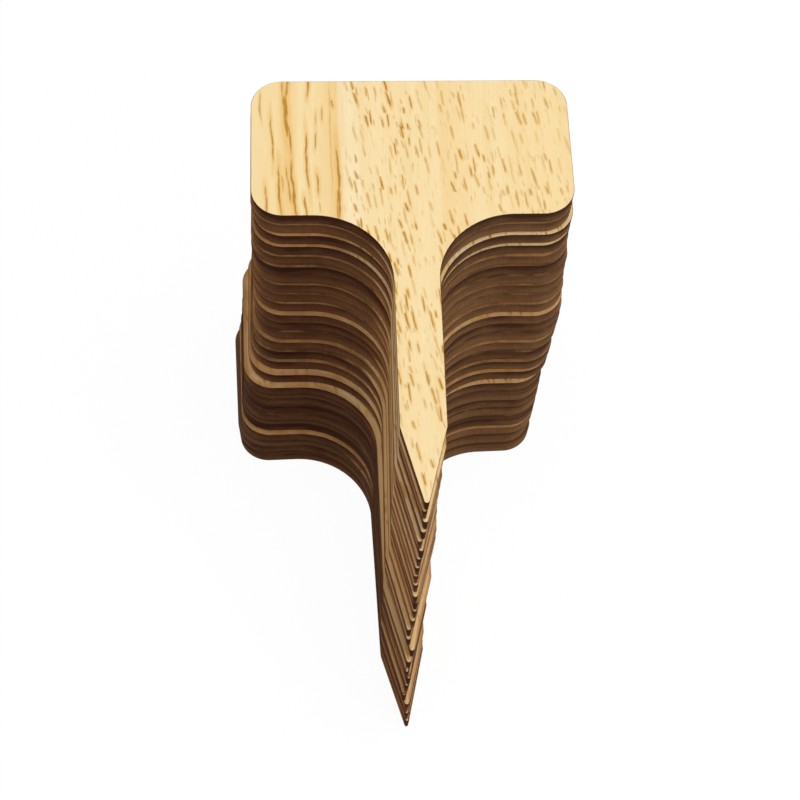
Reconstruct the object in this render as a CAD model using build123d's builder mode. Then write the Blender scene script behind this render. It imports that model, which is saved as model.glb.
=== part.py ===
from build123d import *
from math import cos, radians, sin
import os

# A stack of loose wooden plant label stakes. Each is cut from thin sheet as a T:
# a wide head to write on, swept by concave shoulders into a narrow stem with a blunt, rounded point.
# The origin is under the middle of the bottom stake, +Y runs from the points to the heads, +Z is up.

# Driving dimensions, mm
STAKE_COUNT = 25
THICKNESS = 3.0
LENGTH = 100.0
HEAD_WIDTH = 65.0
HEAD_DEPTH = 34.3
CORNER_RADIUS = 6.5
SHOULDER_RADIUS = 15.8
STEM_WIDTH = 9.1
POINT_LENGTH = 16.5
TIP_WIDTH = 1.1
TIP_ROUND = 0.4
LEAST_FLAT = 0.5

# The stack was laid by hand. Each entry says how one stake lies on the stake below it, from the second
# stake up: steps to the right, steps back towards the heads, and steps of turn, left as seen from above.
SLIP_STEP = 0.1
TURN_STEP_DEG = 0.1
SLIPS = [
    (-2, 4, 1), (5, 7, -6), (0, 7, -7), (4, 7, 1), (2, 2, 1), (-1, 1, -4),
    (2, 7, 2), (10, 11, -4), (1, 10, -10), (1, 6, -1), (6, 4, 1), (4, 6, -1),
    (1, 3, -1), (-2, -1, 1), (1, 9, -1), (-1, 4, 1), (1, 2, 1), (2, 3, 0),
    (-1, 2, 5), (-1, 4, -3), (3, 4, 3), (3, 5, 0), (-3, 6, 1), (2, 2, 1),
]

# Places along the stake, measured from its middle
tip_y = -LENGTH / 2
far_y = LENGTH / 2
head_front_y = far_y - HEAD_DEPTH
head_side_x = HEAD_WIDTH / 2
stem_side_x = STEM_WIDTH / 2

# Rounds are limited by the edges that they run into
corner_radius = min(CORNER_RADIUS, (HEAD_DEPTH - LEAST_FLAT) / 2)
front_room = head_side_x - stem_side_x - corner_radius - LEAST_FLAT
stem_room = head_front_y - tip_y - POINT_LENGTH - LEAST_FLAT
shoulder_radius = min(SHOULDER_RADIUS, front_room, stem_room)

os.makedirs("parts", exist_ok=True)

slip_right = 0
slip_back = 0
slip_turn = 0
for number in range(1, STAKE_COUNT + 1):
    if number > 1:
        right, back, turn = SLIPS[(number - 2) % len(SLIPS)]
        slip_right += right
        slip_back += back
        slip_turn += turn
    angle = radians(slip_turn * TURN_STEP_DEG)
    level = (number - 1) * THICKNESS
    lie = Plane(
        origin=(slip_right * SLIP_STEP, slip_back * SLIP_STEP, level),
        x_dir=(cos(angle), sin(angle), 0),
        z_dir=(0, 0, 1),
    )

    with BuildPart() as stake:
        with BuildSketch(lie):
            with BuildLine():
                blunt_tip = TangentArc((0, tip_y), (TIP_WIDTH / 2, tip_y + TIP_ROUND), tangent=(1, 0))
                flank = Line(blunt_tip @ 1, (stem_side_x, tip_y + POINT_LENGTH))
                stem_side = Line(flank @ 1, (stem_side_x, head_front_y - shoulder_radius))
                shoulder = TangentArc(
                    stem_side @ 1,
                    (stem_side_x + shoulder_radius, head_front_y),
                    tangent=stem_side % 1,
                )
                front = Line(shoulder @ 1, (head_side_x - corner_radius, head_front_y))
                near_corner = TangentArc(
                    front @ 1,
                    (head_side_x, head_front_y + corner_radius),
                    tangent=front % 1,
                )
                side = Line(near_corner @ 1, (head_side_x, far_y - corner_radius))
                far_corner = TangentArc(
                    side @ 1,
                    (head_side_x - corner_radius, far_y),
                    tangent=side % 1,
                )
                Line(far_corner @ 1, (0, far_y))
                mirror(about=Plane.YZ)
            make_face()
        extrude(amount=THICKNESS)

    name = f"stake_{number:02d}"
    stake.part.label = name
    export_step(stake.part, f"parts/{name}.step")
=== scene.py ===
from math import ceil

import bpy
import numpy as np
from mathutils import Matrix, Vector


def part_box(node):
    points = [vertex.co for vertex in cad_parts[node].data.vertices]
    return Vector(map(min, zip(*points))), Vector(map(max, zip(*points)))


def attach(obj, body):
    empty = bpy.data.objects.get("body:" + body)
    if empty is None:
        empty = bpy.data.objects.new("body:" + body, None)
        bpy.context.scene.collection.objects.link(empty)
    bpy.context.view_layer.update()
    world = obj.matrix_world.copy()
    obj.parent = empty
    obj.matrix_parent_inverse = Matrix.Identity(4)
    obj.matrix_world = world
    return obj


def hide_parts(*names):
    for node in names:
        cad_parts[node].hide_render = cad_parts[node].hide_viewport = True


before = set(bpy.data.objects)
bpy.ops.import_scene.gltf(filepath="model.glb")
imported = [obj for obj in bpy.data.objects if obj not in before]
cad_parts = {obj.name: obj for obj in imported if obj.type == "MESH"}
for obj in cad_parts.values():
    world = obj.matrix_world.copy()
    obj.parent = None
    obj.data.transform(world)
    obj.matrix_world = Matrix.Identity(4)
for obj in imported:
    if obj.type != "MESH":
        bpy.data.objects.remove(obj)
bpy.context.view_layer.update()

# Dressing for a stack of laser-cut plant label stakes: the sawn and sanded faces, the scorched edges,
# and a plain white table under soft light. Shapes are worked out in millimetres, then put in place in metres.

MM = 0.001

# One stake, as the solids have it, mm from its middle
LENGTH = 100.0
THICKNESS = 3.0
HEAD_WIDTH = 65.0
HEAD_DEPTH = 34.3
CORNER_RADIUS = 6.5
SHOULDER_RADIUS = 15.8
STEM_WIDTH = 9.1
POINT_LENGTH = 16.5
TIP_WIDTH = 1.1
TIP_ROUND = 0.4
TIP_Y = -LENGTH / 2
FAR_Y = LENGTH / 2
FRONT_Y = FAR_Y - HEAD_DEPTH
HEAD_X = HEAD_WIDTH / 2
STEM_X = STEM_WIDTH / 2
SHOULDER_Y = FRONT_Y - SHOULDER_RADIUS
POINT_Y = TIP_Y + POINT_LENGTH

# The cut edge, mm: softened arrises, a wall that leans out towards the upper face as a focused beam leaves it,
# and the width of the face along the edge that smoke may have stained and painted warm shade tints, which narrows to a
# least share at the tip
ARRIS = 0.1
KERF_LEAN = 0.2
STAINED_RIM = 2.4
FULL_RIM_FROM_TIP = 14.0
LEAST_RIM = 0.06
# Air under a stake, mm, so that its underside and the face below it don't share a plane
SEAT_AIR = 0.01

# How fine the mesh is: steps along the outline, mm, and rows of points round an arris and down a wall
TIP_STEP, POINT_STEP, SHOULDER_STEP, CORNER_STEP, STRAIGHT_STEP = 0.1, 0.5, 0.4, 0.3, 0.7
ARRIS_ROWS, WALL_ROWS = 4, 6
# How near, metres, a point lies to a solid's upper face or to its tip to count as on it
ON_FACE, AT_TIP = 1e-6, 2e-5

# How clean the smoke left the rim of each upper face, in tenths, from the bottom stake to the top one, below
# nothing where it lay thick, which also sets which rims take the painted warm shade, and how many of the lowest
# stakes have left edges dark with soot and with painted shade of the stack above them
CLEAN_RIMS = [-4, -4, 5, -4, 0, -4, -4, 6, 5, 3, 1, 4, 1, 2, 6, 3, 2, 3, 1, 2, 3, 8.5, 9.5, 3, 10]
SOOTED_SHADED_STAKES = 7.35
# How dark such a left edge is at a distance from the tip in mm, with soot and painted shade, and how much
# painted warm shade tints the left rims there, on the lowest stake and on the highest
SOOT_SHADE_ALONG = [(0, 0.28), (9, 0.33), (20, 0.7), (42, 0.75), (52, 1.0)]
AMBER_SHADE_ALONG = [(0, 1.8, 0.2), (14, 2.0, -0.3), (22, 1.5, 1.0), (46, 1.3, 1.0), (54, 1.0, 1.0)]
# Where the marks of heat and smoke change, mm
MIDDLE_BLEND = 0.5  # from the middle line, as left or right begins
LEE_REACH = 15.0  # to either side, as far as smoke keeps changing
HEAD_STAIN_START, HEAD_STAIN_FULL = 8.0, 1.0  # before the head's front
JET_FULL_BEFORE, JET_GONE_AFTER = 10.0, 2.0  # before and after the start of the right shoulder
POINT_BROWN_REACH = 10.0  # up the stem, past the point
TIP_BURN_REACH = 1.2  # up from the tip
STEM_DRIFT = 2.0  # to the right, where the stain along the stem reaches 1 mm in
# The same by the way a wall faces, as its normal's share to that side
SOOT_SHADE_FULL = 0.3
JET_START, JET_FULL = 0.6, 0.95
# How far in stains reach, mm
LEAST_STAIN = 0.08  # everywhere
HEAD_STAIN, END_GRAIN_STAIN = 1.5, 0.7  # over the head, and more at its end grain
SOOT_SHADE_STAIN = 1.2  # on the left edges dark with soot and painted shade
# Shares of stain, smoke, end grain's look and heat
LEE_MIDDLE, LEE_CHANGE = 1.1, 0.3  # of the head's stain in the middle, and its change to either side
LEFT_SMOKE_AND_SHADE = 0.5  # the least on the head's left, smoke that also stands in for painted shade of the stack there
JET_LOOK, SOOT_SHADE_LOOK, POINT_LOOK = 0.85, 0.85, 0.2  # what the jet takes of the look, and what soot with painted shade and the point give
JET_HEAT, SOOT_SHADE_HEAT, FAR_HEAT, TIP_HEAT = -0.3, 0.25, -0.25, 0.6  # what each adds to its stake's own

# One seed, so that each run gives the same stakes
rng = np.random.default_rng(25)


def linear(hex_colour):
    """An sRGB hex colour as linear RGBA: the low end divided by 12.92, the rest a 2.4 power."""
    srgb = np.array([int(hex_colour[i:i + 2], 16) for i in (1, 3, 5)]) / 255
    light = np.where(srgb <= 0.04045, srgb / 12.92, ((srgb + 0.055) / 1.055) ** 2.4)
    return (*light.tolist(), 1.0)


def node(tree, kind, inputs=None, **settings):
    """Adds one node, with its settings; an input takes a socket, a node's first output, or a value."""
    made = tree.nodes.new(kind)
    for name, value in settings.items():
        setattr(made, name, value)
    for key, value in (inputs or {}).items():
        if isinstance(value, bpy.types.Node):
            value = value.outputs[0]
        if isinstance(value, bpy.types.NodeSocket):
            tree.links.new(value, made.inputs[key])
        else:
            made.inputs[key].default_value = value
    return made


def ramp(values, start, end):
    """0 at start and before it, 1 at end and past it, and a straight line between; start may be the larger."""
    return np.clip((values - start) / (end - start), 0, 1)


def straight(start, end, step):
    """Points evenly spaced from start up to, but without, end."""
    start, end = np.array(start), np.array(end)
    count = max(1, ceil(np.linalg.norm(end - start) / step))
    share = np.arange(count)[:, None] / count
    return start + share * (end - start)


def bend(centre, radius, first, last, step):
    """Points on a circle about centre, from the first angle up to, but without, the last, in degrees."""
    angles = np.radians([first, last])
    count = ceil(abs(angles[1] - angles[0]) * radius / step)
    turn = angles[0] + np.arange(count) / count * (angles[1] - angles[0])
    return np.array(centre) + radius * np.stack([np.cos(turn), np.sin(turn)], axis=1)


def stake_outline():
    """The T from above, anticlockwise: right half from the middle of the tip to the middle of the far edge, as
    straight runs and circular arcs, then its mirror image run back. The tip's arc leaves the middle level and
    climbs by a rise over a half width, so its radius is (half width^2 + rise^2) / (2 rise) and it turns by twice
    the angle of its chord. Gives points and outward normals."""
    tip_x = TIP_WIDTH / 2
    tip_radius = (tip_x ** 2 + TIP_ROUND ** 2) / (2 * TIP_ROUND)
    tip_turn = 2 * np.degrees(np.arctan2(TIP_ROUND, tip_x))
    half = np.concatenate([
        bend((0, TIP_Y + tip_radius), tip_radius, -90, tip_turn - 90, TIP_STEP),
        straight((tip_x, TIP_Y + TIP_ROUND), (STEM_X, POINT_Y), POINT_STEP),
        straight((STEM_X, POINT_Y), (STEM_X, SHOULDER_Y), STRAIGHT_STEP),
        bend((STEM_X + SHOULDER_RADIUS, SHOULDER_Y), SHOULDER_RADIUS, 180, 90, SHOULDER_STEP),
        straight((STEM_X + SHOULDER_RADIUS, FRONT_Y), (HEAD_X - CORNER_RADIUS, FRONT_Y), STRAIGHT_STEP),
        bend((HEAD_X - CORNER_RADIUS, FRONT_Y + CORNER_RADIUS), CORNER_RADIUS, -90, 0, CORNER_STEP),
        straight((HEAD_X, FRONT_Y + CORNER_RADIUS), (HEAD_X, FAR_Y - CORNER_RADIUS), STRAIGHT_STEP),
        bend((HEAD_X - CORNER_RADIUS, FAR_Y - CORNER_RADIUS), CORNER_RADIUS, 0, 90, CORNER_STEP),
        straight((HEAD_X - CORNER_RADIUS, FAR_Y), (0, FAR_Y), STRAIGHT_STEP),
        [(0, FAR_Y)],
    ])
    points = np.concatenate([half, half[-2:0:-1] * (-1, 1)])
    ahead = np.roll(points, -1, axis=0) - points
    ahead /= np.linalg.norm(ahead, axis=1, keepdims=True)
    along = ahead + np.roll(ahead, 1, axis=0)
    along /= np.linalg.norm(along, axis=1, keepdims=True)
    return points, np.stack([along[:, 1], -along[:, 0]], axis=1)


def edge_section(points):
    """The section from the lower face round the edge to the upper face, at every point of the outline: a flat rim,
    a quarter round of the arris radius, a wall that leans out by the kerf's lean, another quarter round and a
    flat rim. The rims narrow towards the tip, where there is no room, and the underside keeps its air. Gives insets
    and heights, row by row."""
    turn = np.radians(np.linspace(0, 90, ARRIS_ROWS))
    round_inset, round_height = ARRIS * (1 - np.sin(turn)), ARRIS * (1 - np.cos(turn))
    wall_height = np.linspace(ARRIS, THICKNESS - ARRIS, WALL_ROWS)[1:-1]
    inset = np.concatenate([round_inset, np.zeros(len(wall_height)), round_inset[::-1]])
    height = np.concatenate([round_height, wall_height, THICKNESS - round_height[::-1]])
    inset = inset + KERF_LEAN * (1 - height / THICKNESS)
    rim = STAINED_RIM * np.clip((points[:, 1] - TIP_Y) / FULL_RIM_FROM_TIP, LEAST_RIM, 1)
    inset = np.broadcast_to(inset[:, None], (len(inset), len(points)))
    inset = np.concatenate([inset[:1] + rim, inset, inset[-1:] + rim])
    height = np.maximum(np.concatenate([height[:1], height, height[-1:]]), SEAT_AIR)
    return inset, np.broadcast_to(height[:, None], inset.shape)


def lie_of(name):
    """Where a stake lies: the middle of its tip is the mean of the points farthest from the area centre of its upper
    face, and the line from the one to the other is its axis. Gives its middle, its axis and its underside, metres."""
    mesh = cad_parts[name].data
    mesh.calc_loop_triangles()
    spots = np.zeros(len(mesh.vertices) * 3, np.float32)
    corners = np.zeros(len(mesh.loop_triangles) * 3, np.int32)
    mesh.vertices.foreach_get("co", spots)
    mesh.loop_triangles.foreach_get("vertices", corners)
    spots = spots.reshape(-1, 3).astype(float)
    faces = spots[corners.reshape(-1, 3)]
    low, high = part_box(name)
    upper = faces[(faces[:, :, 2] > high.z - ON_FACE).all(axis=1)][:, :, :2]
    sides = upper[:, 1:] - upper[:, :1]
    areas = abs(sides[:, 0, 0] * sides[:, 1, 1] - sides[:, 0, 1] * sides[:, 1, 0])
    centre = (upper.mean(axis=1) * areas[:, None]).sum(axis=0) / areas.sum()
    reach = np.linalg.norm(spots[:, :2] - centre, axis=1)
    tip = np.unique(spots[reach > reach.max() - AT_TIP, :2].round(7), axis=0).mean(axis=0)
    axis = (centre - tip) / np.linalg.norm(centre - tip)
    return tip + axis * LENGTH / 2 * MM, axis, low.z


def edge_marks(points, normals, up, scorch, smoke, sooted_shaded):
    """What heat and smoke left at each point of the outline: ramps in its place and in the way its wall faces,
    multiplied, and then added up or the largest taken. A wall shows end grain where it crosses the fibres, less
    where the air jet blew along the right of stem and point, and as much on the left edge of the lowest stakes, dark
    with soot and with painted shade of the stack above them, where the stain also reaches further in. Smoke reached
    furthest in over the head, and drifted to the right along the stem; on the head's left it is raised as painted
    shade of the stack. Tips took the most heat. Left rims take a painted warm shade that changes with how high up
    their stake lies, from 0 to 1."""
    x, y = points.T
    from_tip = y - TIP_Y
    crossing = abs(normals[:, 1])
    left_half, right_half = ramp(-x, 0, MIDDLE_BLEND), ramp(x, 0, MIDDLE_BLEND)
    side = np.clip(x / LEE_REACH, -1, 1)
    on_head = ramp(y, FRONT_Y - HEAD_STAIN_START, FRONT_Y - HEAD_STAIN_FULL)
    # Painted shade with soot: the lowest stakes' left edges are darker, where the stack above shades them
    soot_and_shade = left_half * ramp(-normals[:, 0], 0, SOOT_SHADE_FULL) * sooted_shaded * np.interp(from_tip, *zip(*SOOT_SHADE_ALONG))
    jet = right_half * ramp(normals[:, 0], JET_START, JET_FULL)
    jet = jet * ramp(y, SHOULDER_Y + JET_GONE_AFTER, SHOULDER_Y - JET_FULL_BEFORE)
    by_point = left_half * ramp(y, POINT_Y + POINT_BROWN_REACH, POINT_Y)
    on_tip = ramp(from_tip, TIP_BURN_REACH, 0)
    head_stain = (HEAD_STAIN + END_GRAIN_STAIN * crossing) * (LEE_MIDDLE - LEE_CHANGE * side)
    stem_stain = np.maximum(ramp(x, 0, STEM_DRIFT), SOOT_SHADE_STAIN * soot_and_shade)
    along, lowest, highest = np.transpose(AMBER_SHADE_ALONG)
    amber_stain_and_shade = np.interp(from_tip, along, (1 - up) * lowest + up * highest)
    far_side = sooted_shaded * np.clip(side, 0, 1)
    return {
        "end_grain": np.maximum.reduce([crossing * (1 - JET_LOOK * jet), SOOT_SHADE_LOOK * soot_and_shade, POINT_LOOK * by_point]),
        "aired": np.where(y > FAR_Y - CORNER_RADIUS, 0.5 + x / HEAD_WIDTH, right_half),
        "stain_mm": LEAST_STAIN + on_head * head_stain + (1 - on_head) * stem_stain,
        "scorch": scorch + JET_HEAT * jet + SOOT_SHADE_HEAT * soot_and_shade + FAR_HEAT * far_side + TIP_HEAT * on_tip,
        # Painted shade: on the head's left, stakes with any smoke take at least this share, so their rims there stain
        # darker where the stack shades them
        "smoke": np.maximum(smoke, (smoke > 0) * LEFT_SMOKE_AND_SHADE * on_head * np.clip(-side, 0, 1)),
        "amber_stain_and_shade": np.where(x > 0, 1, amber_stain_and_shade),
    }


def stake_piece(name, up, board_shift, scorch, smoke, sooted_shaded):
    """One stake: the edge section carried round the outline, with flat faces above and below, laid as the solid
    lies. Every point keeps its place on the board it was cut from and its distance in from the edge, in mm, and
    the marks of its place on the outline."""
    points, normals = stake_outline()
    inset, height = edge_section(points)
    rows, count = inset.shape
    ring = points[None] - inset[:, :, None] * normals[None]
    local = np.concatenate([ring, height[:, :, None]], axis=2).reshape(-1, 3)
    middle, axis, underside = lie_of(name)
    right = np.array([axis[1], -axis[0]])
    placed = np.empty_like(local)
    placed[:, :2] = middle + MM * (local[:, :1] * right + local[:, 1:2] * axis)
    placed[:, 2] = underside + MM * local[:, 2]

    here = np.arange(count)
    following = (here + 1) % count
    base = (np.arange(rows - 1) * count)[:, None]
    walls = np.stack([base + here, base + following, base + count + following, base + count + here], axis=2)
    walls = walls.reshape(-1, 4).tolist()
    mesh = bpy.data.meshes.new(name + "_wood")
    faces = [here[::-1].tolist(), ((rows - 1) * count + here).tolist()]
    mesh.from_pydata(placed.tolist(), [], faces + walls)
    strip = (np.arange(len(mesh.polygons)) - len(faces)) // count
    is_edge = (strip >= 1) & (strip < rows - 2)
    mesh.materials.append(sanded_face)
    mesh.materials.append(scorched_edge)
    mesh.polygons.foreach_set("material_index", is_edge.astype(np.int32))
    mesh.polygons.foreach_set("use_smooth", is_edge)
    board = mesh.attributes.new("board_mm", "FLOAT_VECTOR", "POINT")
    board.data.foreach_set("vector", (local + (*board_shift, 0)).astype(np.float32).ravel())
    rim = np.zeros((rows, count))
    rim[[0, -1]] = inset[[0, -1]] - inset[[1, -2]]
    marks = edge_marks(points, normals, up, scorch, smoke, sooted_shaded)
    kept = {label: np.tile(values, rows) for label, values in marks.items()} | {"rim_mm": rim.ravel()}
    for label, values in kept.items():
        attribute = mesh.attributes.new(label, "FLOAT", "POINT")
        attribute.data.foreach_set("value", values.astype(np.float32))
    mesh.update()
    piece = bpy.data.objects.new(name + "_wood", mesh)
    bpy.context.scene.collection.objects.link(piece)
    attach(piece, name)
    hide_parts(name)


def seen_directly(tree):
    """1 for what the camera sees, straight on, in gloss or through glass, and 0 for what only lights other things:
    the largest of the light path's three answers."""
    path = node(tree, "ShaderNodeLightPath")
    seen = node(tree, "ShaderNodeMath", {0: path.outputs["Is Camera Ray"], 1: path.outputs["Is Glossy Ray"]},
                operation="MAXIMUM")
    return node(tree, "ShaderNodeMath", {0: seen, 1: path.outputs["Is Transmission Ray"]}, operation="MAXIMUM")


def vessel_dashes(tree, across, along, cell, lean, stray, half_length, half_width):
    """Short dashes where the saw crossed the wood's vessels. The face falls into irregular cells with one dash at
    most in each. A dash is full where (off its line / half width)^2 + (along it / half length)^4 is small; its
    line leans by the layer's slope and strays by the cell's own. Gives that sum and the cell's three chances."""
    leaned = node(tree, "ShaderNodeMath", {0: along, 1: lean, 2: across}, operation="MULTIPLY_ADD")
    place = node(tree, "ShaderNodeCombineXYZ", {0: leaned, 1: along})
    scaled = node(tree, "ShaderNodeVectorMath", {0: place, 1: (1 / cell[0], 1 / cell[1], 1)}, operation="MULTIPLY")
    cells = node(tree, "ShaderNodeTexVoronoi", {"Vector": scaled, "Scale": 1.0, "Randomness": 0.9},
                 voronoi_dimensions="2D", feature="F1")
    offset = node(tree, "ShaderNodeVectorMath", {0: scaled, 1: cells.outputs["Position"]}, operation="SUBTRACT")
    offset = node(tree, "ShaderNodeVectorMath", {0: offset, 1: (*cell, 0)}, operation="MULTIPLY")
    parts = node(tree, "ShaderNodeSeparateXYZ", {0: offset})
    chance = node(tree, "ShaderNodeSeparateColor", {0: cells.outputs["Color"]})
    slope = node(tree, "ShaderNodeMapRange", {"Value": chance.outputs[0], "To Min": -stray, "To Max": stray})
    off_line = node(tree, "ShaderNodeMath", {0: parts.outputs[1], 1: slope, 2: parts.outputs[0]},
                    operation="MULTIPLY_ADD")
    long = node(tree, "ShaderNodeMapRange", {"Value": chance.outputs[1], "To Min": half_length[0],
                                             "To Max": half_length[1]})
    wide = node(tree, "ShaderNodeMapRange", {"Value": chance.outputs[0], "To Min": half_width[0],
                                             "To Max": half_width[1]})
    u = node(tree, "ShaderNodeMath", {0: off_line, 1: wide}, operation="DIVIDE")
    v = node(tree, "ShaderNodeMath", {0: parts.outputs[1], 1: long}, operation="DIVIDE")
    u = node(tree, "ShaderNodeMath", {0: u, 1: 2.0}, operation="POWER")
    v = node(tree, "ShaderNodeMath", {0: v, 1: 4.0}, operation="POWER")
    return node(tree, "ShaderNodeMath", {0: u, 1: v}, operation="ADD"), chance


def ring_streaks(tree, across, along, spacing, lean, wander, half_width, sway_length, run_length):
    """Long streaks where the saw ran with the growth rings: irregular lines along the fibres, each wandering a
    little, broken into runs by a noise of its own. Gives (off the line / half width)^2 and the run's strength."""
    leaned = node(tree, "ShaderNodeMath", {0: along, 1: lean, 2: across}, operation="MULTIPLY_ADD")
    slow = node(tree, "ShaderNodeMath", {0: along, 1: 1 / sway_length}, operation="MULTIPLY")
    sway = node(tree, "ShaderNodeTexNoise", {"W": slow, "Scale": 1.0, "Detail": 1.0}, noise_dimensions="1D")
    sway = node(tree, "ShaderNodeMapRange", {"Value": sway, "To Min": -wander, "To Max": wander})
    leaned = node(tree, "ShaderNodeMath", {0: leaned, 1: sway}, operation="ADD")
    lines_at = node(tree, "ShaderNodeMath", {0: leaned, 1: 1 / spacing}, operation="MULTIPLY")
    lines = node(tree, "ShaderNodeTexVoronoi", {"W": lines_at, "Scale": 1.0, "Randomness": 1.0},
                 voronoi_dimensions="1D", feature="F1")
    chance = node(tree, "ShaderNodeSeparateColor", {0: lines.outputs["Color"]})
    wide = node(tree, "ShaderNodeMapRange", {"Value": chance.outputs[0], "To Min": half_width[0] / spacing,
                                             "To Max": half_width[1] / spacing})
    off = node(tree, "ShaderNodeMath", {0: lines.outputs["Distance"], 1: wide}, operation="DIVIDE")
    off = node(tree, "ShaderNodeMath", {0: off, 1: 2.0}, operation="POWER")
    # A streak's own chance, from 0 to 1, takes it to a stretch of the noise far from its neighbours'
    own = node(tree, "ShaderNodeMath", {0: chance.outputs[1], 1: 90.0}, operation="MULTIPLY")
    run_at = node(tree, "ShaderNodeMath", {0: along, 1: 1 / run_length}, operation="MULTIPLY")
    run_at = node(tree, "ShaderNodeCombineXYZ", {0: own, 1: run_at})
    run = node(tree, "ShaderNodeTexNoise", {"Vector": run_at, "Scale": 1.0, "Detail": 1.5}, noise_dimensions="2D")
    run = node(tree, "ShaderNodeMapRange", {"Value": run, "From Min": 0.44, "From Max": 0.6},
               interpolation_type="SMOOTHSTEP")
    return off, run


# Rubberwood, sawn, thicknessed and sanded, left bare: cream with soft lengthwise bands, silky fine fibres, and
# caramel marks where vessels were opened: long streaks where the cut follows the growth rings, and short leaning
# dashes where it crosses them.
sanded_face = bpy.data.materials.new("rubberwood_sanded_face")
sanded_face.use_nodes = True
tree = sanded_face.node_tree
tree.nodes.clear()
board = node(tree, "ShaderNodeAttribute", attribute_name="board_mm")
spot = node(tree, "ShaderNodeSeparateXYZ", {0: board.outputs["Vector"]})
across, deep = spot.outputs[0], spot.outputs[2]
# The lower face was 3 mm away in the tree, so its marks are others: it reads the pattern further along
LOWER_FACE_SHIFT = 37.0
lower = node(tree, "ShaderNodeMath", {0: deep, 1: THICKNESS / 2}, operation="LESS_THAN")
along = node(tree, "ShaderNodeMath", {0: lower, 1: LOWER_FACE_SHIFT, 2: spot.outputs[1]}, operation="MULTIPLY_ADD")
flat = node(tree, "ShaderNodeCombineXYZ", {0: across, 1: along})

# Growth bands across the board, which come round again every 66 mm: where each starts, mm from the middle of the
# top stake, and its tone there. Two places close together are the sharp edge of a ring.
REPEAT = 66.0
HONEY, STRAW, CREAM, PALE, MILK = "#F0CA86", "#F4D599", "#F5DBA2", "#F7DEA9", "#F9E5B9"
GROWTH_BANDS = [
    (-33.0, CREAM), (-27.5, CREAM), (-25.4, HONEY), (-23.6, STRAW), (-22.6, PALE), (-18.5, CREAM), (-15.0, HONEY),
    (-14.5, MILK), (-10.8, MILK), (-10.4, PALE), (5.4, PALE), (5.8, STRAW), (15.0, PALE), (24.0, CREAM), (33.0, CREAM),
]
figure = node(tree, "ShaderNodeMath", {0: across, 1: REPEAT / 2, 2: -REPEAT / 2}, operation="WRAP")
figure = node(tree, "ShaderNodeMapRange", {"Value": figure, "From Min": -REPEAT / 2, "From Max": REPEAT / 2})
bands = node(tree, "ShaderNodeValToRGB", {0: figure})
stops = bands.color_ramp.elements
stops.remove(stops[1])
for place, colour in GROWTH_BANDS:
    stop = stops[0] if place == GROWTH_BANDS[0][0] else stops.new(place / REPEAT + 0.5)
    stop.position = place / REPEAT + 0.5
    stop.color = linear(colour)

# Tone clouds 3 mm wide, drawn out along the fibres, and fibres 0.25 mm wide
cloud_at = node(tree, "ShaderNodeVectorMath", {0: flat, 1: (1 / 3, 1 / 60, 1)}, operation="MULTIPLY")
cloud = node(tree, "ShaderNodeTexNoise", {"Vector": cloud_at, "Scale": 1.0, "Detail": 3.0, "Roughness": 0.55},
             noise_dimensions="2D")
fibre_at = node(tree, "ShaderNodeVectorMath", {0: flat, 1: (1 / 0.25, 1 / 5, 1)}, operation="MULTIPLY")
fibre = node(tree, "ShaderNodeTexNoise", {"Vector": fibre_at, "Scale": 1.0, "Detail": 2.0}, noise_dimensions="2D")
cloudy = node(tree, "ShaderNodeMapRange", {"Value": cloud, "From Min": 0.4, "From Max": 0.75, "To Max": 0.5})
tone = node(tree, "ShaderNodeMix", {0: cloudy, 6: bands.outputs[0], 7: linear("#EFCF92")}, data_type="RGBA")
silk = node(tree, "ShaderNodeMapRange", {"Value": fibre, "From Min": 0.35, "From Max": 0.7, "To Max": 0.22})
tone = node(tree, "ShaderNodeMix", {0: silk, 6: tone.outputs[2], 7: linear("#E6C48A")}, data_type="RGBA")

# Where the cut follows the rings: the left third of the top stake, from 33 to 14 mm left of its middle. A cosine
# across the board is 1 in the midst of it
RINGS_AT = -23.5
beat = node(tree, "ShaderNodeMath", {0: across, 1: 2 * np.pi / REPEAT, 2: -2 * np.pi * RINGS_AT / REPEAT},
            operation="MULTIPLY_ADD")
beat = node(tree, "ShaderNodeMath", {0: beat}, operation="COSINE")
with_rings = node(tree, "ShaderNodeMapRange", {"Value": beat, "From Min": 0.58, "From Max": 0.72},
                  interpolation_type="SMOOTHSTEP")
crowd_at = node(tree, "ShaderNodeVectorMath", {0: flat, 1: (1 / 9, 1 / 14, 1)}, operation="MULTIPLY")
crowd = node(tree, "ShaderNodeTexNoise", {"Vector": crowd_at, "Scale": 1.0, "Detail": 1.0}, noise_dimensions="2D")

streak, run = ring_streaks(tree, across, along, spacing=1.6, lean=0.055, wander=0.9, half_width=(0.12, 0.26),
                           sway_length=16, run_length=9)
run = node(tree, "ShaderNodeMath", {0: run, 1: with_rings}, operation="MULTIPLY")
streak_core = node(tree, "ShaderNodeMapRange", {"Value": streak, "From Max": 1.5, "To Min": 1.0, "To Max": 0.0},
                   interpolation_type="SMOOTHSTEP")
streak_halo = node(tree, "ShaderNodeMapRange", {"Value": streak, "From Max": 9.0, "To Min": 1.0, "To Max": 0.0},
                   interpolation_type="SMOOTHSTEP")
streak_core = node(tree, "ShaderNodeMath", {0: streak_core, 1: run}, operation="MULTIPLY")
streak_halo = node(tree, "ShaderNodeMath", {0: streak_halo, 1: run}, operation="MULTIPLY")

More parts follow.
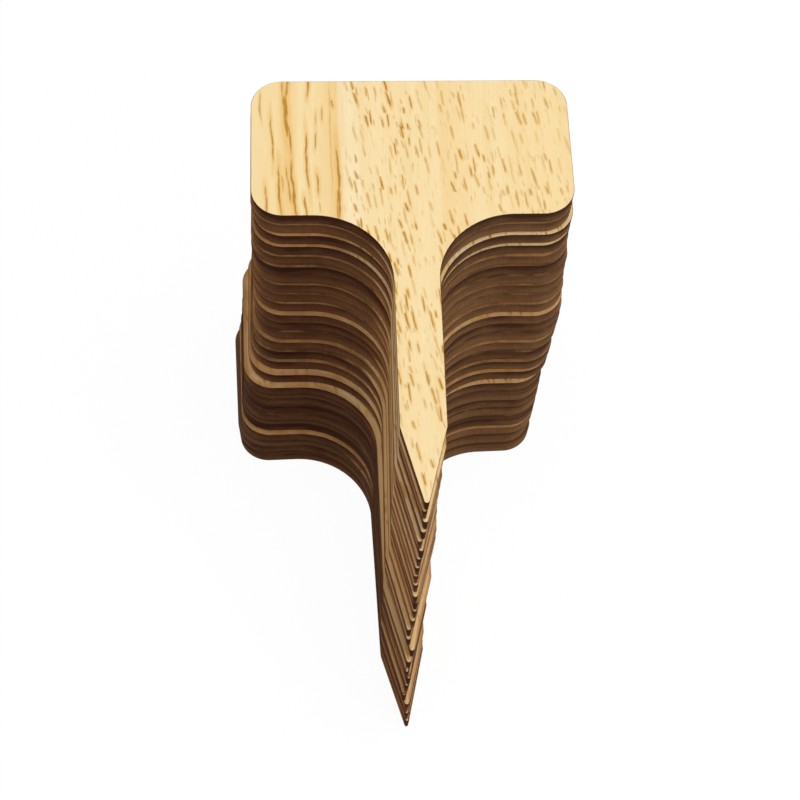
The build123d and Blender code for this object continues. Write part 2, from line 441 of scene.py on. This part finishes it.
# The boldest streaks of the top stake are drawn one by one, over a stretch of board that has no others: where each
# starts, across and along, and where it ends, mm from the stake's middle, half its width, and its depth
DRAWN_REACH = 55.0
BOLD_STREAKS = [
    (-26.3, 51.0, -25.6, 43.0, 0.22, 0.7), (-24.9, 51.0, -25.2, 46.0, 0.3, 0.9),
    (-25.5, 47.0, -25.1, 35.0, 0.4, 1.0), (-25.1, 40.0, -24.4, 31.0, 0.26, 1.0),
    (-24.4, 30.5, -23.6, 14.5, 0.3, 1.0), (-25.3, 27.5, -24.4, 18.5, 0.18, 0.8),
    (-28.5, 41.0, -28.1, 29.0, 0.2, 0.9), (-27.0, 28.5, -26.4, 16.0, 0.26, 1.0),
    (-26.2, 26.0, -25.8, 21.5, 0.16, 0.6), (-29.5, 23.0, -29.2, 15.5, 0.24, 0.9),
    (-21.4, 37.0, -20.8, 21.5, 0.24, 0.95), (-19.3, 42.0, -19.3, 38.0, 0.18, 0.6),
    (-19.2, 36.5, -19.3, 32.5, 0.2, 0.8), (-18.0, 43.0, -18.0, 39.5, 0.18, 0.7),
    (-19.2, 26.5, -18.9, 21.0, 0.24, 0.9), (-20.7, 51.0, -20.9, 45.5, 0.24, 0.9),
    (-22.0, 20.5, -21.5, 15.0, 0.26, 0.9), (-15.2, 32.5, -14.8, 14.5, 0.3, 1.0),
    (-16.4, 50.0, -16.2, 20.0, 0.16, 0.35), (-30.8, 47.0, -30.4, 40.0, 0.16, 0.7),
    (-16.0, 45.0, -15.8, 43.0, 0.2, 0.7), (-18.8, 19.0, -18.6, 16.5, 0.14, 0.5),
    (-15.4, 20.5, -15.0, 14.0, 0.2, 0.8),
]
sway_at = node(tree, "ShaderNodeVectorMath", {0: flat, 1: (1 / 8, 1 / 10, 1)}, operation="MULTIPLY")
sway = node(tree, "ShaderNodeTexNoise", {"Vector": sway_at, "Scale": 1.0, "Detail": 2.0}, noise_dimensions="2D")
sway = node(tree, "ShaderNodeMapRange", {"Value": sway, "To Min": -0.6, "To Max": 0.6})
swayed = node(tree, "ShaderNodeMath", {0: across, 1: sway}, operation="ADD")
elsewhere = node(tree, "ShaderNodeMath", {0: along, 1: 0.0, 2: DRAWN_REACH}, operation="COMPARE")
elsewhere = node(tree, "ShaderNodeMath", {0: 1.0, 1: elsewhere}, operation="SUBTRACT")
streak_core = node(tree, "ShaderNodeMath", {0: streak_core, 1: elsewhere}, operation="MULTIPLY")
streak_halo = node(tree, "ShaderNodeMath", {0: streak_halo, 1: elsewhere}, operation="MULTIPLY")
ragged_at = node(tree, "ShaderNodeVectorMath", {0: flat, 1: (1 / 0.5, 1 / 2.4, 1)}, operation="MULTIPLY")
ragged = node(tree, "ShaderNodeTexNoise", {"Vector": ragged_at, "Scale": 1.0, "Detail": 2.0}, noise_dimensions="2D")
ragged = node(tree, "ShaderNodeMapRange", {"Value": ragged, "From Min": 0.3, "From Max": 0.7, "To Min": -0.5,
                                           "To Max": 0.6})
for start_x, start_y, end_x, end_y, half_width, bold in BOLD_STREAKS:
    slope = (end_x - start_x) / (end_y - start_y)
    line = node(tree, "ShaderNodeMath", {0: along, 1: -slope, 2: slope * start_y - start_x}, operation="MULTIPLY_ADD")
    off = node(tree, "ShaderNodeMath", {0: swayed, 1: line}, operation="ADD")
    off = node(tree, "ShaderNodeMath", {0: off, 1: half_width}, operation="DIVIDE")
    off = node(tree, "ShaderNodeMath", {0: off, 1: 2.0}, operation="POWER")
    far = node(tree, "ShaderNodeMath", {0: along, 1: (start_y + end_y) / 2}, operation="SUBTRACT")
    far = node(tree, "ShaderNodeMath", {0: far, 1: (start_y - end_y) / 2}, operation="DIVIDE")
    far = node(tree, "ShaderNodeMath", {0: far, 1: 4.0}, operation="POWER")
    off = node(tree, "ShaderNodeMath", {0: off, 1: far}, operation="ADD")
    off = node(tree, "ShaderNodeMath", {0: off, 1: ragged}, operation="ADD")
    here_core = node(tree, "ShaderNodeMapRange", {"Value": off, "From Max": 1.5, "To Min": 1.0, "To Max": 0.0},
                     interpolation_type="SMOOTHSTEP")
    here_halo = node(tree, "ShaderNodeMapRange", {"Value": off, "From Max": 12.0, "To Min": 1.0, "To Max": 0.0},
                     interpolation_type="SMOOTHSTEP")
    here_core = node(tree, "ShaderNodeMath", {0: here_core, 1: bold}, operation="MULTIPLY")
    here_halo = node(tree, "ShaderNodeMath", {0: here_halo, 1: bold}, operation="MULTIPLY")
    streak_core = node(tree, "ShaderNodeMath", {0: streak_core, 1: here_core}, operation="MAXIMUM")
    streak_halo = node(tree, "ShaderNodeMath", {0: streak_halo, 1: here_halo}, operation="MAXIMUM")

# Bold dashes, where the noise lets them crowd and away from the rings, fainter to the right, and faint ticks
dash, chance = vessel_dashes(tree, across, along, cell=(1.7, 4.2), lean=0.16, stray=0.1, half_length=(0.7, 2.4),
                             half_width=(0.15, 0.26))
share = node(tree, "ShaderNodeMapRange", {"Value": crowd, "From Min": 0.35, "From Max": 0.65, "To Min": 0.5,
                                          "To Max": 1.15})
depth = node(tree, "ShaderNodeMath", {0: share, 1: chance.outputs[2]}, operation="SUBTRACT")
depth = node(tree, "ShaderNodeMapRange", {"Value": depth, "From Max": 0.72})
off_rings = node(tree, "ShaderNodeMapRange", {"Value": beat, "From Min": 0.3, "From Max": 0.75, "To Min": 1.0,
                                              "To Max": 0.0}, interpolation_type="SMOOTHSTEP")
calm = node(tree, "ShaderNodeMapRange", {"Value": across, "From Min": 6.0, "From Max": 20.0, "To Min": 1.0,
                                         "To Max": 0.68})
off_rings = node(tree, "ShaderNodeMath", {0: off_rings, 1: calm}, operation="MULTIPLY")
depth = node(tree, "ShaderNodeMath", {0: depth, 1: off_rings}, operation="MULTIPLY")
dash = node(tree, "ShaderNodeMath", {0: dash, 1: ragged}, operation="ADD")
dash_core = node(tree, "ShaderNodeMapRange", {"Value": dash, "From Max": 1.9, "To Min": 1.0, "To Max": 0.0},
                 interpolation_type="SMOOTHSTEP")
dash_halo = node(tree, "ShaderNodeMapRange", {"Value": dash, "From Max": 8.0, "To Min": 1.0, "To Max": 0.0},
                 interpolation_type="SMOOTHSTEP")
dash_core = node(tree, "ShaderNodeMath", {0: dash_core, 1: depth}, operation="MULTIPLY")
dash_halo = node(tree, "ShaderNodeMath", {0: dash_halo, 1: depth}, operation="MULTIPLY")
tick, chance = vessel_dashes(tree, across, along, cell=(1.5, 3.1), lean=0.13, stray=0.14, half_length=(0.45, 1.3),
                             half_width=(0.11, 0.21))
faint = node(tree, "ShaderNodeMath", {0: share, 1: chance.outputs[2]}, operation="SUBTRACT")
faint = node(tree, "ShaderNodeMapRange", {"Value": faint, "From Max": 0.8, "To Max": 0.5})
faint = node(tree, "ShaderNodeMath", {0: faint, 1: off_rings}, operation="MULTIPLY")
tick_core = node(tree, "ShaderNodeMapRange", {"Value": tick, "From Max": 1.5, "To Min": 1.0, "To Max": 0.0},
                 interpolation_type="SMOOTHSTEP")
tick_core = node(tree, "ShaderNodeMath", {0: tick_core, 1: faint}, operation="MULTIPLY")
dash_core = node(tree, "ShaderNodeMath", {0: dash_core, 1: tick_core}, operation="MAXIMUM")

core = node(tree, "ShaderNodeMath", {0: streak_core, 1: dash_core}, operation="MAXIMUM")
halo = node(tree, "ShaderNodeMath", {0: streak_halo, 1: dash_halo}, operation="MAXIMUM")
halo_depth = node(tree, "ShaderNodeMath", {0: halo, 1: 0.48}, operation="MULTIPLY")
tone = node(tree, "ShaderNodeMix", {0: halo_depth, 6: tone.outputs[2], 7: linear("#E6B052")}, data_type="RGBA")
tone = node(tree, "ShaderNodeMix", {0: core, 6: tone.outputs[2], 7: linear("#B58320")}, data_type="RGBA")

# Smoke along the cut: amber where it is thin and umber where it is thick, in blotches 4 to 7 mm long. Over it a
# painted
# warm shade: an amber tint on the rims of all but the cleanest stakes, strongest on the low stakes' left rims, for the
# shade and warm bounced light on the ledges under the stack
rim = node(tree, "ShaderNodeAttribute", attribute_name="rim_mm")
reach = node(tree, "ShaderNodeAttribute", attribute_name="stain_mm")
smoke = node(tree, "ShaderNodeAttribute", attribute_name="smoke")
stain = node(tree, "ShaderNodeMath", {0: rim.outputs["Fac"], 1: reach.outputs["Fac"]}, operation="DIVIDE")
stain = node(tree, "ShaderNodeMapRange", {"Value": stain, "To Min": 1.0, "To Max": 0.0},
             interpolation_type="SMOOTHERSTEP")
blotch_at = node(tree, "ShaderNodeVectorMath", {0: flat, 1: (1 / 4, 1 / 7, 1)}, operation="MULTIPLY")
blotch = node(tree, "ShaderNodeTexNoise", {"Vector": blotch_at, "Scale": 1.0, "Detail": 2.0}, noise_dimensions="2D")
blotch = node(tree, "ShaderNodeMapRange", {"Value": blotch, "From Min": 0.3, "From Max": 0.7, "To Min": 0.85,
                                           "To Max": 1.15})
stain = node(tree, "ShaderNodeMath", {0: stain, 1: smoke.outputs["Fac"]}, operation="MULTIPLY")
stain = node(tree, "ShaderNodeMath", {0: stain, 1: blotch}, operation="MULTIPLY", use_clamp=True)
amber_stain_and_shade = node(tree, "ShaderNodeMapRange", {"Value": stain, "From Min": 0.08, "From Max": 0.45, "To Max": 0.85})
# Painted warm shade: this amber tint fades over the stained rim's width, takes each stake's share by its smoke, and
# the rim's amber share given for its place and height
warm_shade_tint = node(tree, "ShaderNodeMapRange", {"Value": rim.outputs["Fac"], "From Max": STAINED_RIM, "To Min": 0.35,
                                         "To Max": 0.0})
shade_tinted_share = node(tree, "ShaderNodeMapRange", {"Value": smoke.outputs["Fac"], "From Min": 0.1, "From Max": 0.25})
warm_shade_tint = node(tree, "ShaderNodeMath", {0: warm_shade_tint, 1: shade_tinted_share}, operation="MULTIPLY")
tinged = node(tree, "ShaderNodeAttribute", attribute_name="amber_stain_and_shade")
warm_shade_tint = node(tree, "ShaderNodeMath", {0: warm_shade_tint, 1: tinged.outputs["Fac"]}, operation="MULTIPLY")
amber_stain_and_shade = node(tree, "ShaderNodeMath", {0: amber_stain_and_shade, 1: warm_shade_tint}, operation="MAXIMUM")
tone = node(tree, "ShaderNodeMix", {0: amber_stain_and_shade, 6: tone.outputs[2], 7: linear("#C58C4E")}, data_type="RGBA")
umber = node(tree, "ShaderNodeMapRange", {"Value": stain, "From Min": 0.4, "From Max": 0.95})
tone = node(tree, "ShaderNodeMix", {0: umber, 6: tone.outputs[2], 7: linear("#5E3B20")}, data_type="RGBA")

raised = node(tree, "ShaderNodeMath", {0: core, 1: -1.0, 2: silk}, operation="MULTIPLY_ADD")
relief = node(tree, "ShaderNodeBump", {"Strength": 0.5, "Distance": 0.05 * MM, "Height": raised})
rough = node(tree, "ShaderNodeMapRange", {"Value": fibre, "To Min": 0.52, "To Max": 0.68})
shader = node(tree, "ShaderNodeBsdfPrincipled", {"Base Color": tone.outputs[2], "Roughness": rough, "IOR": 1.5,
                                                 "Specular IOR Level": 0.35, "Normal": relief})
node(tree, "ShaderNodeOutputMaterial", {"Surface": shader})

# The same wood cut by a laser: end grain scorched dark brown, long grain toasted tan, and slanting walls between the
# two, darkest under the upper arris where the beam went in, with fine ribs down the thickness where it pulsed. Char is
# matt, with hardly any shine.
scorched_edge = bpy.data.materials.new("rubberwood_laser_scorched_edge")
scorched_edge.use_nodes = True
tree = scorched_edge.node_tree
tree.nodes.clear()
board = node(tree, "ShaderNodeAttribute", attribute_name="board_mm")
spot = node(tree, "ShaderNodeSeparateXYZ", {0: board.outputs["Vector"]})
# On the lowest stakes' left edges, end_grain and scorch also carry a dark look that is part soot and part painted
# shade
end_grain = node(tree, "ShaderNodeAttribute", attribute_name="end_grain")
scorch = node(tree, "ShaderNodeAttribute", attribute_name="scorch")
aired = node(tree, "ShaderNodeAttribute", attribute_name="aired")
# Smoke patches 6 mm long, ribs 0.45 mm apart, drawn as coarse as they need to be to show
patch_at = node(tree, "ShaderNodeVectorMath", {0: board.outputs["Vector"], 1: (1 / 6, 1 / 9, 1 / 2.2)},
                operation="MULTIPLY")
patch = node(tree, "ShaderNodeTexNoise", {"Vector": patch_at, "Scale": 1.0, "Detail": 3.0})
rib_at = node(tree, "ShaderNodeVectorMath", {0: board.outputs["Vector"], 1: (1 / 0.45, 1 / 0.45, 1 / 9)},
              operation="MULTIPLY")
rib = node(tree, "ShaderNodeTexNoise", {"Vector": rib_at, "Scale": 1.0, "Detail": 1.0})
smoke = node(tree, "ShaderNodeMapRange", {"Value": patch, "From Min": 0.3, "From Max": 0.7, "To Min": -0.25,
                                          "To Max": 0.25})
sooty = node(tree, "ShaderNodeMapRange", {"Value": spot.outputs[2], "From Min": 0.4, "From Max": THICKNESS,
                                          "To Min": -0.35, "To Max": 0.4})
burnt = node(tree, "ShaderNodeMath", {0: smoke, 1: scorch.outputs["Fac"]}, operation="ADD")
burnt = node(tree, "ShaderNodeMath", {0: burnt, 1: sooty}, operation="ADD", use_clamp=True)
# Tones from the least burnt to the most, on the left and on the right, where the air kept them less red: walls along
# the fibres, walls at a slant to them, and walls across them
WALL_TONES = [
    (("#D4A26B", "#754827"), ("#DDBA8E", "#86623F")),
    (("#C4824E", "#552A12"), ("#966840", "#52301B")),
    (("#8F6140", "#4B2A1D"), ("#8F6846", "#4B3022")),
]
walls = []
for sides in WALL_TONES:
    left, right = [node(tree, "ShaderNodeMix", {0: burnt, 6: linear(least), 7: linear(most)}, data_type="RGBA")
                   for least, most in sides]
    walls.append(node(tree, "ShaderNodeMix", {0: aired.outputs["Fac"], 6: left.outputs[2], 7: right.outputs[2]},
                      data_type="RGBA"))
toasted, browned, charred = walls
slanting = node(tree, "ShaderNodeMapRange", {"Value": end_grain.outputs["Fac"], "From Min": 0.02, "From Max": 0.24})
tone = node(tree, "ShaderNodeMix", {0: slanting, 6: toasted.outputs[2], 7: browned.outputs[2]}, data_type="RGBA")
crossing = node(tree, "ShaderNodeMapRange", {"Value": end_grain.outputs["Fac"], "From Min": 0.2, "From Max": 0.75})
tone = node(tree, "ShaderNodeMix", {0: crossing, 6: tone.outputs[2], 7: charred.outputs[2]}, data_type="RGBA")
rib_depth = node(tree, "ShaderNodeMapRange", {"Value": rib, "From Min": 0.4, "From Max": 0.7, "To Max": 0.16})
tone = node(tree, "ShaderNodeMix", {0: rib_depth, 6: tone.outputs[2], 7: linear("#3C2110")}, data_type="RGBA")
relief = node(tree, "ShaderNodeBump", {"Strength": 0.5, "Distance": 0.04 * MM, "Height": rib})
shader = node(tree, "ShaderNodeBsdfPrincipled", {"Base Color": tone.outputs[2], "Roughness": 0.8, "IOR": 1.45,
                                                 "Specular IOR Level": 0.06, "Normal": relief})
node(tree, "ShaderNodeOutputMaterial", {"Surface": shader})

# The stakes, from the bottom up. Each was cut from another place on the board, and the top one from its middle
names = sorted(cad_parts)
for number, (name, clean) in enumerate(zip(names, CLEAN_RIMS)):
    board_shift = rng.uniform(-300, 300, 2)
    scorch = rng.uniform(0.1, 0.9)
    if name == names[-1]:
        board_shift[:] = 0
    stake_piece(name, number / (len(names) - 1), board_shift, scorch, smoke=1 - clean / 10,
                sooted_shaded=min(1, max(0, SOOTED_SHADED_STAKES - number)))

# A white table, seen as white, that still takes the soft shadow of the stack: half its side and its level, metres,
# a hair below the lowest stake so that the two don't share a plane
TABLE, TABLE_LEVEL = 1.5, -0.05 * MM
table_corners = [(-TABLE, -TABLE, TABLE_LEVEL), (TABLE, -TABLE, TABLE_LEVEL), (TABLE, TABLE, TABLE_LEVEL),
                 (-TABLE, TABLE, TABLE_LEVEL)]
table_mesh = bpy.data.meshes.new("table")
table_mesh.from_pydata(table_corners, [], [(0, 1, 2, 3)])
table = bpy.data.objects.new("table", table_mesh)
bpy.context.scene.collection.objects.link(table)
table_paint = bpy.data.materials.new("white_matt_table")
table_paint.use_nodes = True
tree = table_paint.node_tree
tree.nodes.clear()
# What is seen of it is mostly its own white, and the rest takes light and shadow
seen = node(tree, "ShaderNodeMath", {0: seen_directly(tree), 1: 0.85}, operation="MULTIPLY")
matt = node(tree, "ShaderNodeBsdfDiffuse", {"Color": linear("#A4A4A4")})
glow = node(tree, "ShaderNodeEmission", {"Color": (1, 1, 1, 1), "Strength": 1.12})
mixed = node(tree, "ShaderNodeMixShader", {0: seen, 1: matt, 2: glow})
node(tree, "ShaderNodeOutputMaterial", {"Surface": mixed})
table_mesh.materials.append(table_paint)

# The studio round it: seen as white, and a dim even light
world = bpy.data.worlds.new("studio")
bpy.context.scene.world = world
world.use_nodes = True
tree = world.node_tree
tree.nodes.clear()
level = node(tree, "ShaderNodeMapRange", {"Value": seen_directly(tree), "To Min": 0.2, "To Max": 1.0})
sky = node(tree, "ShaderNodeBackground", {"Color": (1, 1, 1, 1), "Strength": level})
node(tree, "ShaderNodeOutputWorld", {"Surface": sky})

# Soft boxes, all turned to the middle of the stack: place, size in metres and watts; a wide one overhead, the key
# from the front right, a weak fill
LIT_SPOT = Vector((0, 0, 0.05))
SOFT_BOXES = {
    "overhead": ((0.15, 0.15, 1.0), 0.6, 6.25),
    "key": ((0.75, -0.6, 0.4), 0.4, 3.6),
    "fill": ((-0.7, -0.25, 0.7), 0.4, 1.5),
}
for name, (place, size, watts) in SOFT_BOXES.items():
    lamp = bpy.data.lights.new(name, "AREA")
    lamp.shape = "SQUARE"
    lamp.size = size
    lamp.energy = watts
    box = bpy.data.objects.new(name, lamp)
    bpy.context.scene.collection.objects.link(box)
    box.rotation_euler = (Vector(place) - LIT_SPOT).to_track_quat("Z", "Y").to_euler()
    box.location = place

# The camera, set from the outline of the top stake and the foot of the stack, in an 800 by 800 picture
AIM = np.array([1.247, 7.214, 37.5]) * MM
CAMERA_AZIMUTH, CAMERA_HEIGHT, CAMERA_ROLL = np.radians([6.72, 58.131, 3.456])
CAMERA_DISTANCE = 485.995 * MM
SENSOR = 36.0
FOCAL_PIXELS, PICTURE_PIXELS = 2336.05, 800
ahead = np.array([np.sin(CAMERA_AZIMUTH) * np.cos(CAMERA_HEIGHT), np.cos(CAMERA_AZIMUTH) * np.cos(CAMERA_HEIGHT),
                  -np.sin(CAMERA_HEIGHT)])
level_right = np.array([np.cos(CAMERA_AZIMUTH), -np.sin(CAMERA_AZIMUTH), 0])
level_up = np.cross(level_right, ahead)
picture_right = np.cos(CAMERA_ROLL) * level_right + np.sin(CAMERA_ROLL) * level_up
picture_up = np.cos(CAMERA_ROLL) * level_up - np.sin(CAMERA_ROLL) * level_right
stand = np.eye(4)
stand[:3, :3] = np.stack([picture_right, picture_up, -ahead], axis=1)
stand[:3, 3] = AIM - CAMERA_DISTANCE * ahead
camera_data = bpy.data.cameras.new("camera")
camera_data.sensor_width = SENSOR
camera_data.lens = FOCAL_PIXELS * SENSOR / PICTURE_PIXELS
camera_data.clip_start = 0.01
camera = bpy.data.objects.new("camera", camera_data)
camera.matrix_world = Matrix(stand.tolist())
bpy.context.scene.collection.objects.link(camera)
bpy.context.scene.camera = camera

bpy.context.scene.view_settings.view_transform = "Standard"
